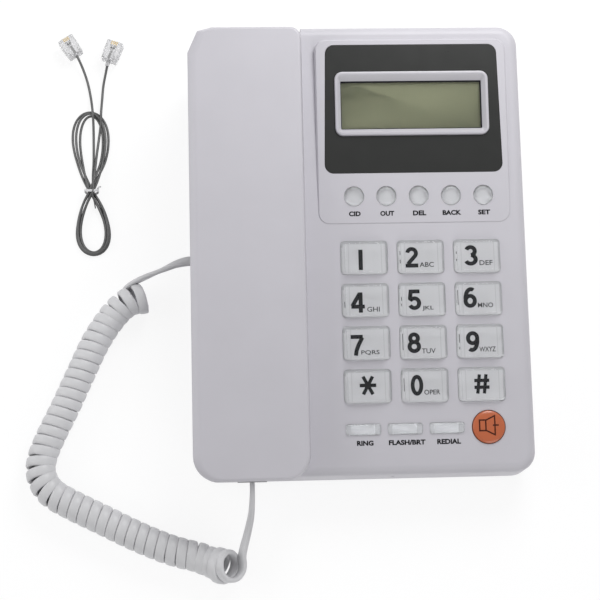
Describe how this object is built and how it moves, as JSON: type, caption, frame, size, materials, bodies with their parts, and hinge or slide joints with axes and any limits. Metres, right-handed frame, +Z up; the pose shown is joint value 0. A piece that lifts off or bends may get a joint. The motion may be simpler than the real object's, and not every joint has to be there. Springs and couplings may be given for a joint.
{
  "type": "corded landline phone",
  "caption": "Desk telephone with a lift-off handset on the left, a tilted face with display, number keys and speaker button, a curly handset cord and a loose line cord.",
  "frame": {"origin": "under the middle of the telephone, on the surface that it stands on; the cords and their plugs lie outside this box", "axes": "+Z up, +Y towards the rear of the telephone, where the face is highest, +X to the user's right"},
  "size_m": [0.2238, 0.2598, 0.064],
  "materials": {
    "housing_white": "moulded ABS, fine satin texture",
    "handset_white": "moulded ABS, semi-gloss",
    "panel_dark": "dark printed panel, semi-gloss",
    "frame_white": "moulded ABS, semi-gloss",
    "window_clear": "clear polycarbonate",
    "lcd_glass": "olive-grey reflective display",
    "circuit_board": "phenolic board with solder mask",
    "silicone_mat": "silicone rubber",
    "driver_black": "black paper and plastic",
    "capsule_metal": "plain can",
    "jack_plastic": "black moulded plastic",
    "spring_steel": "bright wire",
    "foot_rubber": "soft rubber",
    "screw_steel": "zinc plated",
    "weight_iron": "plain bar",
    "speaker_orange": "orange translucent cap",
    "key_clear": "clear cap over a pale printed insert",
    "button_clear": "clear-coated pale cap",
    "plug_clear": "clear polycarbonate",
    "cord_white": "soft PVC, satin",
    "line_cord_grey": "soft PVC, satin",
    "tie_white": "paper-backed wire tie"
  },
  "bodies": {
    "base": {"base_top_housing": "housing_white", "base_lower_housing": "housing_white", "display_panel": "panel_dark", "lcd_frame": "frame_white", "lcd_window": "window_clear", "lcd_module": "lcd_glass", "main_board": "circuit_board", "keypad_membrane": "silicone_mat", "loudspeaker": "driver_black", "base_microphone": "capsule_metal", "line_jack": "jack_plastic", "base_handset_jack": "jack_plastic", "hook_spring": "spring_steel", "hook_switch_body": "jack_plastic", "wall_hanger": "housing_white", "rubber_feet": "foot_rubber", "housing_screws": "screw_steel", "battery_contacts": "spring_steel", "base_plug": "plug_clear", "curly_cord_coil": "cord_white", "base_cord_lead": "cord_white", "handset_cord_lead": "cord_white", "line_cord_hank": "line_cord_grey", "line_cord_leads": "line_cord_grey", "line_plugs": "plug_clear", "line_cord_tie": "tie_white"},
    "handset": {"handset_top_shell": "handset_white", "handset_bottom_shell": "handset_white", "earpiece_capsule": "driver_black", "handset_microphone": "capsule_metal", "handset_weight": "weight_iron", "handset_jack": "jack_plastic", "handset_screws": "screw_steel", "handset_plug": "plug_clear"},
    "hook_plunger": {"hook_plunger": "housing_white"},
    "battery_door": {"battery_door": "housing_white"},
    "button_speaker": {"button_speaker": "speaker_orange"},
    "key_1": {"key_1": "key_clear"},
    "key_2": {"key_2": "key_clear"},
    "key_3": {"key_3": "key_clear"},
    "key_4": {"key_4": "key_clear"},
    "key_5": {"key_5": "key_clear"},
    "key_6": {"key_6": "key_clear"},
    "key_7": {"key_7": "key_clear"},
    "key_8": {"key_8": "key_clear"},
    "key_9": {"key_9": "key_clear"},
    "key_star": {"key_star": "key_clear"},
    "key_0": {"key_0": "key_clear"},
    "key_hash": {"key_hash": "key_clear"},
    "button_cid": {"button_cid": "button_clear"},
    "button_out": {"button_out": "button_clear"},
    "button_del": {"button_del": "button_clear"},
    "button_back": {"button_back": "button_clear"},
    "button_set": {"button_set": "button_clear"},
    "button_ring": {"button_ring": "button_clear"},
    "button_flash": {"button_flash": "button_clear"},
    "button_redial": {"button_redial": "button_clear"}
  },
  "joints": [
    {"name": "handset_lift", "type": "slide", "parent": "base", "child": "handset", "axis": [0, -0.1392, 0.9903], "range_m": [0, 0.045]},
    {"name": "hook_switch", "type": "slide", "parent": "base", "child": "hook_plunger", "axis": [0, 0, 1], "range_m": [0, 0.004], "deforming": ["hook_spring"]},
    {"name": "battery_door_slide", "type": "slide", "parent": "base", "child": "battery_door", "axis": [0, 1, 0], "range_m": [0, 0.014]},
    {"name": "key_1_press", "type": "slide", "parent": "base", "child": "key_1", "axis": [0, 0.1392, -0.9903], "range_m": [0, 0.0012], "stiffness_N_per_m": 150},
    {"name": "key_2_press", "type": "slide", "parent": "base", "child": "key_2", "axis": [0, 0.1392, -0.9903], "range_m": [0, 0.0012], "stiffness_N_per_m": 150},
    {"name": "key_3_press", "type": "slide", "parent": "base", "child": "key_3", "axis": [0, 0.1392, -0.9903], "range_m": [0, 0.0012], "stiffness_N_per_m": 150},
    {"name": "key_4_press", "type": "slide", "parent": "base", "child": "key_4", "axis": [0, 0.1392, -0.9903], "range_m": [0, 0.0012], "stiffness_N_per_m": 150},
    {"name": "key_5_press", "type": "slide", "parent": "base", "child": "key_5", "axis": [0, 0.1392, -0.9903], "range_m": [0, 0.0012], "stiffness_N_per_m": 150},
    {"name": "key_6_press", "type": "slide", "parent": "base", "child": "key_6", "axis": [0, 0.1392, -0.9903], "range_m": [0, 0.0012], "stiffness_N_per_m": 150},
    {"name": "key_7_press", "type": "slide", "parent": "base", "child": "key_7", "axis": [0, 0.1392, -0.9903], "range_m": [0, 0.0012], "stiffness_N_per_m": 150},
    {"name": "key_8_press", "type": "slide", "parent": "base", "child": "key_8", "axis": [0, 0.1392, -0.9903], "range_m": [0, 0.0012], "stiffness_N_per_m": 150},
    {"name": "key_9_press", "type": "slide", "parent": "base", "child": "key_9", "axis": [0, 0.1392, -0.9903], "range_m": [0, 0.0012], "stiffness_N_per_m": 150},
    {"name": "key_star_press", "type": "slide", "parent": "base", "child": "key_star", "axis": [0, 0.1392, -0.9903], "range_m": [0, 0.0012], "stiffness_N_per_m": 150},
    {"name": "key_0_press", "type": "slide", "parent": "base", "child": "key_0", "axis": [0, 0.1392, -0.9903], "range_m": [0, 0.0012], "stiffness_N_per_m": 150},
    {"name": "key_hash_press", "type": "slide", "parent": "base", "child": "key_hash", "axis": [0, 0.1392, -0.9903], "range_m": [0, 0.0012], "stiffness_N_per_m": 150},
    {"name": "button_cid_press", "type": "slide", "parent": "base", "child": "button_cid", "axis": [0, 0.1668, -0.986], "range_m": [0, 0.0012], "stiffness_N_per_m": 150},
    {"name": "button_out_press", "type": "slide", "parent": "base", "child": "button_out", "axis": [0, 0.1668, -0.986], "range_m": [0, 0.0012], "stiffness_N_per_m": 150},
    {"name": "button_del_press", "type": "slide", "parent": "base", "child": "button_del", "axis": [0, 0.1668, -0.986], "range_m": [0, 0.0012], "stiffness_N_per_m": 150},
    {"name": "button_back_press", "type": "slide", "parent": "base", "child": "button_back", "axis": [0, 0.1668, -0.986], "range_m": [0, 0.0012], "stiffness_N_per_m": 150},
    {"name": "button_set_press", "type": "slide", "parent": "base", "child": "button_set", "axis": [0, 0.1668, -0.986], "range_m": [0, 0.0012], "stiffness_N_per_m": 150},
    {"name": "button_ring_press", "type": "slide", "parent": "base", "child": "button_ring", "axis": [0, 0.1392, -0.9903], "range_m": [0, 0.0012], "stiffness_N_per_m": 150},
    {"name": "button_flash_press", "type": "slide", "parent": "base", "child": "button_flash", "axis": [0, 0.1392, -0.9903], "range_m": [0, 0.0012], "stiffness_N_per_m": 150},
    {"name": "button_redial_press", "type": "slide", "parent": "base", "child": "button_redial", "axis": [0, 0.1392, -0.9903], "range_m": [0, 0.0012], "stiffness_N_per_m": 150},
    {"name": "button_speaker_press", "type": "slide", "parent": "base", "child": "button_speaker", "axis": [0, 0.1392, -0.9903], "range_m": [0, 0.0012], "stiffness_N_per_m": 150}
  ],
  "couplings": [
    {"joint": "hook_switch", "follows": "handset_lift", "ratio": 0.088889}
  ]
}
